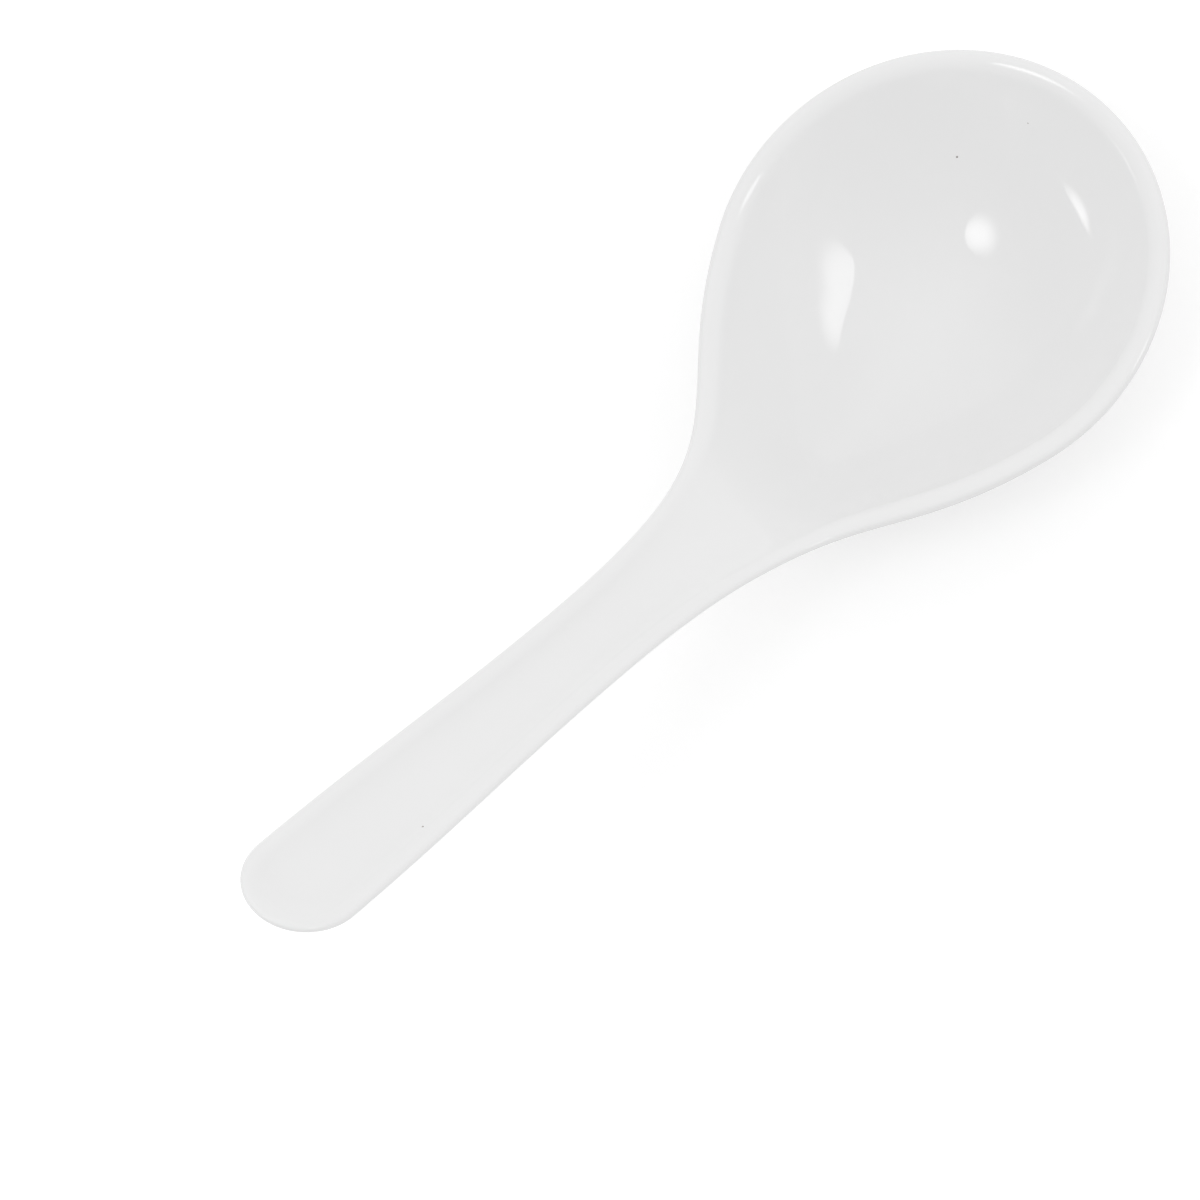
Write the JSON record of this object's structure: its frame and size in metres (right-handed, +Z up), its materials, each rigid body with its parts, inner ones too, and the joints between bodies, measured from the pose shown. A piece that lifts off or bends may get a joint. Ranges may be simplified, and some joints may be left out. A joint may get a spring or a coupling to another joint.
{
  "type": "soup spoon",
  "caption": "Large Chinese soup spoon with a round bowl, swept-in shoulders and a long raised channel handle, for ladling and eating soup.",
  "frame": {"origin": "on the flat of the foot, under the centre of the bowl", "axes": "+X towards the bowl's nose, -X along the handle, +Z up out of the bowl"},
  "size_m": [0.243, 0.0904, 0.1241],
  "materials": {
    "melamine": "white melamine, polished"
  },
  "bodies": {
    "root": {"bowl": "melamine", "throat": "melamine", "handle": "melamine", "handle_end": "melamine"}
  },
  "joints": []
}
